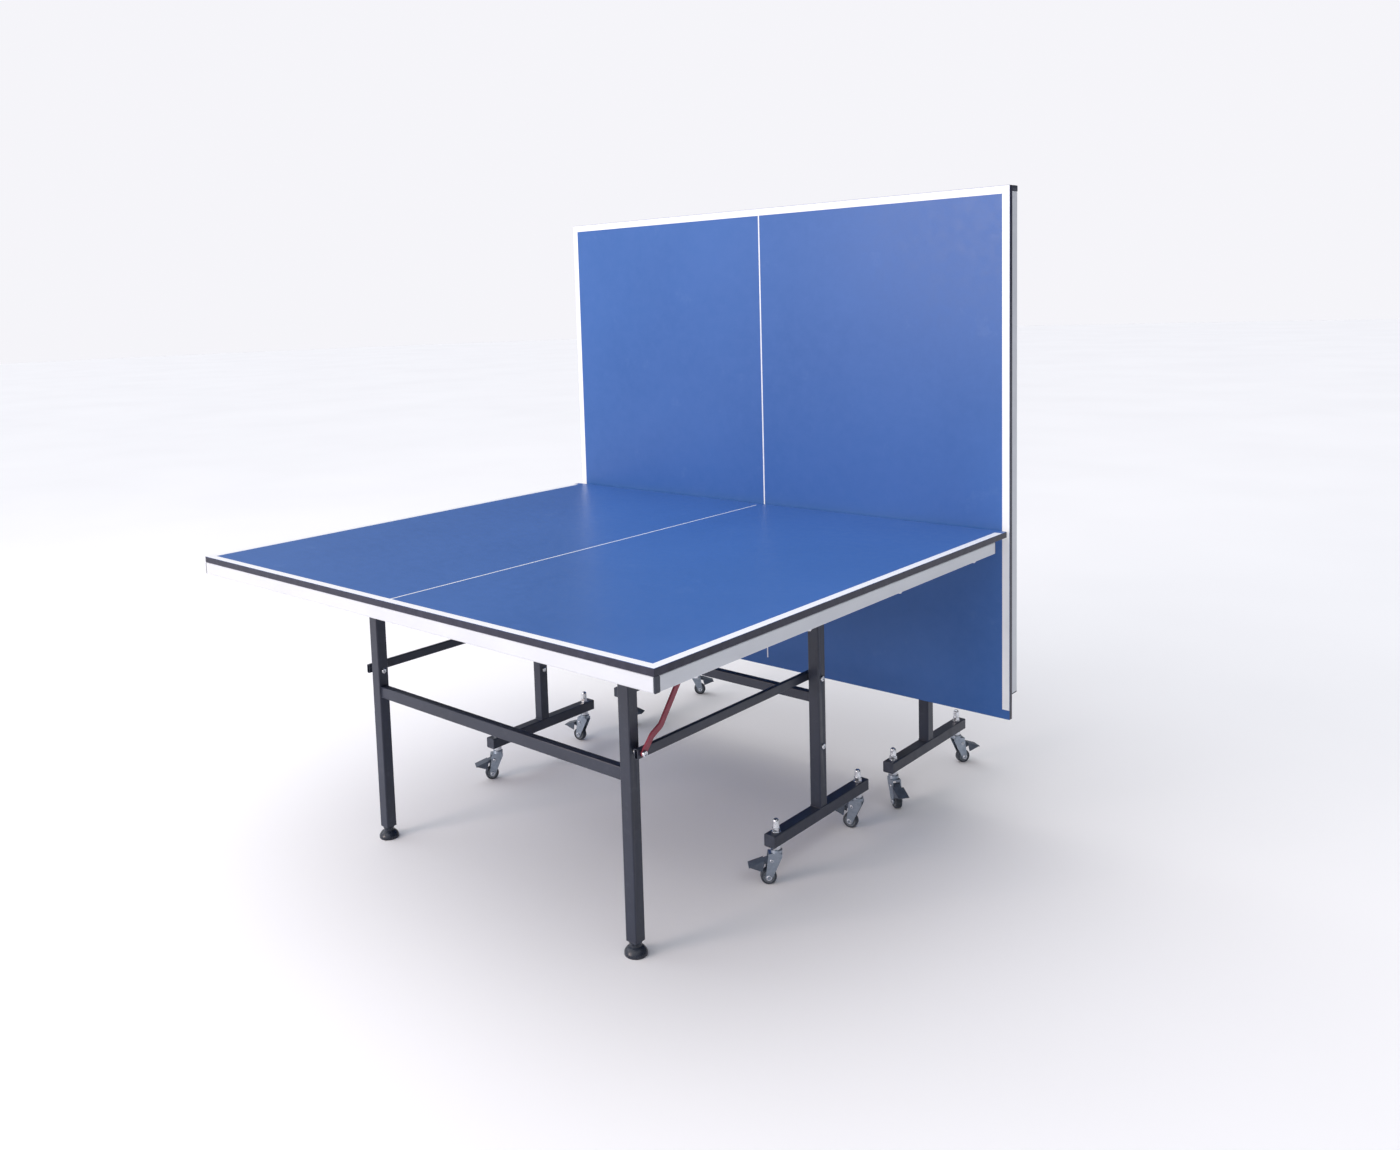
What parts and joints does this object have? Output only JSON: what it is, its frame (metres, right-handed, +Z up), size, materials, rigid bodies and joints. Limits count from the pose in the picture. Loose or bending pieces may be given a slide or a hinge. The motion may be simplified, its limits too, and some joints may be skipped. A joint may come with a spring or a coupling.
{
  "type": "ping pong table",
  "caption": "Folding ping pong table in playback position: one half flat for play, the other upright as a rebound board, on wheeled trolleys with folding legs.",
  "frame": {"origin": "on the floor, under the middle of the whole table's outline", "axes": "+Z up; +Y along the table, from the flat half towards the upright half; +X across the table, to the right of a player who stands at the flat half's end and faces the net line"},
  "size_m": [1.525, 1.6948, 1.63],
  "materials": {
    "blue_board": "satin blue lacquer with a dark edge",
    "white_steel": "semi-gloss white powder coat",
    "frame_steel": "semi-gloss charcoal powder coat",
    "black_plastic": "moulded",
    "chrome": "bright zinc",
    "zinc_steel": "zinc-plated pressed steel",
    "tyre": "smooth",
    "grey_plastic": "moulded",
    "foot_rubber": "moulded",
    "red_steel": "dark red vinyl coat"
  },
  "bodies": {
    "near_trolley": {"near_trolley_frame": "frame_steel", "near_foot_rail_plugs": "black_plastic", "near_caster_stems": "chrome", "near_trolley_bolts": "chrome"},
    "near_top": {"near_board": "blue_board", "near_end_apron": "white_steel", "near_side_aprons": "white_steel", "near_apron_plugs": "black_plastic", "near_cross_rails": "frame_steel", "near_brackets": "frame_steel"},
    "near_legs": {"near_leg_frame": "frame_steel", "near_leg_inserts": "black_plastic", "near_leg_bolts": "chrome"},
    "near_links": {"near_left_link": "frame_steel", "near_right_link": "frame_steel"},
    "near_hook": {"near_lock_hook": "red_steel"},
    "near_left_foot": {"near_left_foot": "foot_rubber"},
    "near_right_foot": {"near_right_foot": "foot_rubber"},
    "near_left_net_fork": {"near_left_net_fork": "zinc_steel"},
    "near_left_net_wheel": {"near_left_net_wheel": "tyre"},
    "near_left_net_pedal": {"near_left_net_pedal": "grey_plastic"},
    "near_left_end_fork": {"near_left_end_fork": "zinc_steel"},
    "near_left_end_wheel": {"near_left_end_wheel": "tyre"},
    "near_left_end_pedal": {"near_left_end_pedal": "grey_plastic"},
    "near_right_net_fork": {"near_right_net_fork": "zinc_steel"},
    "near_right_net_wheel": {"near_right_net_wheel": "tyre"},
    "near_right_net_pedal": {"near_right_net_pedal": "grey_plastic"},
    "near_right_end_fork": {"near_right_end_fork": "zinc_steel"},
    "near_right_end_wheel": {"near_right_end_wheel": "tyre"},
    "near_right_end_pedal": {"near_right_end_pedal": "grey_plastic"},
    "far_trolley": {"far_trolley_frame": "frame_steel", "far_foot_rail_plugs": "black_plastic", "far_caster_stems": "chrome", "far_trolley_bolts": "chrome"},
    "far_top": {"far_board": "blue_board", "far_end_apron": "white_steel", "far_side_aprons": "white_steel", "far_apron_plugs": "black_plastic", "far_cross_rails": "frame_steel", "far_brackets": "frame_steel"},
    "far_legs": {"far_leg_frame": "frame_steel", "far_leg_inserts": "black_plastic", "far_leg_bolts": "chrome"},
    "far_links": {"far_left_link": "frame_steel", "far_right_link": "frame_steel"},
    "far_hook": {"far_lock_hook": "red_steel"},
    "far_left_foot": {"far_left_foot": "foot_rubber"},
    "far_right_foot": {"far_right_foot": "foot_rubber"},
    "far_left_net_fork": {"far_left_net_fork": "zinc_steel"},
    "far_left_net_wheel": {"far_left_net_wheel": "tyre"},
    "far_left_net_pedal": {"far_left_net_pedal": "grey_plastic"},
    "far_left_end_fork": {"far_left_end_fork": "zinc_steel"},
    "far_left_end_wheel": {"far_left_end_wheel": "tyre"},
    "far_left_end_pedal": {"far_left_end_pedal": "grey_plastic"},
    "far_right_net_fork": {"far_right_net_fork": "zinc_steel"},
    "far_right_net_wheel": {"far_right_net_wheel": "tyre"},
    "far_right_net_pedal": {"far_right_net_pedal": "grey_plastic"},
    "far_right_end_fork": {"far_right_end_fork": "zinc_steel"},
    "far_right_end_wheel": {"far_right_end_wheel": "tyre"},
    "far_right_end_pedal": {"far_right_end_pedal": "grey_plastic"}
  },
  "joints": [
    {"name": "near_top_fold", "type": "hinge", "parent": "near_trolley", "child": "near_top", "pos_m": [0, 0.07024, 0.713], "axis": [-1, 0, 0], "range_deg": [0, 90]},
    {"name": "near_leg_fold", "type": "hinge", "parent": "near_top", "child": "near_legs", "pos_m": [0, -0.54676, 0.713], "axis": [-1, 0, 0], "range_deg": [-90, 0]},
    {"name": "near_link_swing", "type": "hinge", "parent": "near_trolley", "child": "near_links", "pos_m": [0, 0.05624, 0.45], "axis": [-1, 0, 0], "range_deg": [0, 90]},
    {"name": "near_hook_swing", "type": "hinge", "parent": "near_legs", "child": "near_hook", "pos_m": [0, -0.56076, 0.45], "axis": [-1, 0, 0], "range_deg": [0, 138.51]},
    {"name": "near_left_foot_turn", "type": "hinge", "parent": "near_legs", "child": "near_left_foot", "pos_m": [-0.434, -0.56076, 0.02], "axis": [0, 0, 1], "continuous": true},
    {"name": "near_right_foot_turn", "type": "hinge", "parent": "near_legs", "child": "near_right_foot", "pos_m": [0.434, -0.56076, 0.02], "axis": [0, 0, 1], "continuous": true},
    {"name": "near_left_net_swivel", "type": "hinge", "parent": "near_trolley", "child": "near_left_net_fork", "pos_m": [-0.492, 0.23824, 0.08], "axis": [0, 0, 1], "continuous": true},
    {"name": "near_left_net_wheel_spin", "type": "hinge", "parent": "near_left_net_fork", "child": "near_left_net_wheel", "pos_m": [-0.51156, 0.23408, 0.019], "axis": [0.2079, -0.9781, 0], "continuous": true},
    {"name": "near_left_net_brake", "type": "hinge", "parent": "near_left_net_fork", "child": "near_left_net_pedal", "pos_m": [-0.50472, 0.23554, 0.06], "axis": [0.2079, -0.9781, 0], "range_deg": [0, 15]},
    {"name": "near_left_end_swivel", "type": "hinge", "parent": "near_trolley", "child": "near_left_end_fork", "pos_m": [-0.492, -0.12576, 0.08], "axis": [0, 0, 1], "continuous": true},
    {"name": "near_left_end_wheel_spin", "type": "hinge", "parent": "near_left_end_fork", "child": "near_left_end_wheel", "pos_m": [-0.5026, -0.14272, 0.019], "axis": [0.848, -0.5299, 0], "continuous": true},
    {"name": "near_left_end_brake", "type": "hinge", "parent": "near_left_end_fork", "child": "near_left_end_pedal", "pos_m": [-0.49889, -0.13679, 0.06], "axis": [0.848, -0.5299, 0], "range_deg": [0, 15]},
    {"name": "near_right_net_swivel", "type": "hinge", "parent": "near_trolley", "child": "near_right_net_fork", "pos_m": [0.492, 0.23824, 0.08], "axis": [0, 0, 1], "continuous": true},
    {"name": "near_right_net_wheel_spin", "type": "hinge", "parent": "near_right_net_fork", "child": "near_right_net_wheel", "pos_m": [0.47259, 0.2334, 0.019], "axis": [0.2419, -0.9703, 0], "continuous": true},
    {"name": "near_right_net_brake", "type": "hinge", "parent": "near_right_net_fork", "child": "near_right_net_pedal", "pos_m": [0.47939, 0.23509, 0.06], "axis": [0.2419, -0.9703, 0], "range_deg": [0, 15]},
    {"name": "near_right_end_swivel", "type": "hinge", "parent": "near_trolley", "child": "near_right_end_fork", "pos_m": [0.492, -0.12576, 0.08], "axis": [0, 0, 1], "continuous": true},
    {"name": "near_right_end_wheel_spin", "type": "hinge", "parent": "near_right_end_fork", "child": "near_right_end_wheel", "pos_m": [0.47714, -0.13914, 0.019], "axis": [0.6691, -0.7431, 0], "continuous": true},
    {"name": "near_right_end_brake", "type": "hinge", "parent": "near_right_end_fork", "child": "near_right_end_pedal", "pos_m": [0.48234, -0.13446, 0.06], "axis": [0.6691, -0.7431, 0], "range_deg": [0, 15]},
    {"name": "far_half_roll", "type": "slide", "parent": "near_trolley", "child": "far_trolley", "axis": [0, 1, 0], "range_m": [0, 0.4116]},
    {"name": "far_top_fold", "type": "hinge", "parent": "far_trolley", "child": "far_top", "pos_m": [0, 0.58724, 0.713], "axis": [-1, 0, 0], "range_deg": [0, 90]},
    {"name": "far_leg_fold", "type": "hinge", "parent": "far_top", "child": "far_legs", "pos_m": [0, 0.58724, 1.33], "axis": [-1, 0, 0], "range_deg": [-90, 0]},
    {"name": "far_link_swing", "type": "hinge", "parent": "far_trolley", "child": "far_links", "pos_m": [0, 0.60124, 0.45], "axis": [-1, 0, 0], "range_deg": [0, 90]},
    {"name": "far_hook_swing", "type": "hinge", "parent": "far_legs", "child": "far_hook", "pos_m": [0, 0.60124, 1.067], "axis": [-1, 0, 0], "range_deg": [0, 138.51]},
    {"name": "far_left_foot_turn", "type": "hinge", "parent": "far_legs", "child": "far_left_foot", "pos_m": [0.434, 0.60124, 0.637], "axis": [0, 0, 1], "continuous": true},
    {"name": "far_right_foot_turn", "type": "hinge", "parent": "far_legs", "child": "far_right_foot", "pos_m": [-0.434, 0.60124, 0.637], "axis": [0, 0, 1], "continuous": true},
    {"name": "far_left_net_swivel", "type": "hinge", "parent": "far_trolley", "child": "far_left_net_fork", "pos_m": [0.492, 0.41924, 0.08], "axis": [0, 0, 1], "continuous": true},
    {"name": "far_left_net_wheel_spin", "type": "hinge", "parent": "far_left_net_fork", "child": "far_left_net_wheel", "pos_m": [0.50797, 0.4072, 0.019], "axis": [0.6018, 0.7986, 0], "continuous": true},
    {"name": "far_left_net_brake", "type": "hinge", "parent": "far_left_net_fork", "child": "far_left_net_pedal", "pos_m": [0.50238, 0.41141, 0.06], "axis": [0.6018, 0.7986, 0], "range_deg": [0, 15]},
    {"name": "far_left_end_swivel", "type": "hinge", "parent": "far_trolley", "child": "far_left_end_fork", "pos_m": [0.492, 0.78324, 0.08], "axis": [0, 0, 1], "continuous": true},
    {"name": "far_left_end_wheel_spin", "type": "hinge", "parent": "far_left_end_fork", "child": "far_left_end_wheel", "pos_m": [0.50289, 0.80001, 0.019], "axis": [-0.8387, 0.5446, 0], "continuous": true},
    {"name": "far_left_end_brake", "type": "hinge", "parent": "far_left_end_fork", "child": "far_left_end_pedal", "pos_m": [0.49908, 0.79414, 0.06], "axis": [-0.8387, 0.5446, 0], "range_deg": [0, 15]},
    {"name": "far_right_net_swivel", "type": "hinge", "parent": "far_trolley", "child": "far_right_net_fork", "pos_m": [-0.492, 0.41924, 0.08], "axis": [0, 0, 1], "continuous": true},
    {"name": "far_right_net_wheel_spin", "type": "hinge", "parent": "far_right_net_fork", "child": "far_right_net_wheel", "pos_m": [-0.47321, 0.42608, 0.019], "axis": [-0.342, 0.9397, 0], "continuous": true},
    {"name": "far_right_net_brake", "type": "hinge", "parent": "far_right_net_fork", "child": "far_right_net_pedal", "pos_m": [-0.47978, 0.42368, 0.06], "axis": [-0.342, 0.9397, 0], "range_deg": [0, 15]},
    {"name": "far_right_end_swivel", "type": "hinge", "parent": "far_trolley", "child": "far_right_end_fork", "pos_m": [-0.492, 0.78324, 0.08], "axis": [0, 0, 1], "continuous": true},
    {"name": "far_right_end_wheel_spin", "type": "hinge", "parent": "far_right_end_fork", "child": "far_right_end_wheel", "pos_m": [-0.47786, 0.79738, 0.019], "axis": [-0.7071, 0.7071, 0], "continuous": true},
    {"name": "far_right_end_brake", "type": "hinge", "parent": "far_right_end_fork", "child": "far_right_end_pedal", "pos_m": [-0.48281, 0.79243, 0.06], "axis": [-0.7071, 0.7071, 0], "range_deg": [0, 15]}
  ],
  "couplings": [
    {"joint": "near_leg_fold", "follows": "near_top_fold", "ratio": -1},
    {"joint": "near_link_swing", "follows": "near_top_fold", "ratio": 1},
    {"joint": "near_hook_swing", "follows": "near_top_fold", "ratio": 1.5379},
    {"joint": "far_leg_fold", "follows": "far_top_fold", "ratio": -1},
    {"joint": "far_link_swing", "follows": "far_top_fold", "ratio": 1},
    {"joint": "far_hook_swing", "follows": "far_top_fold", "ratio": 1.5379},
    {"joint": "far_half_roll", "follows": "far_top_fold", "m_per_rad": 0.262}
  ]
}
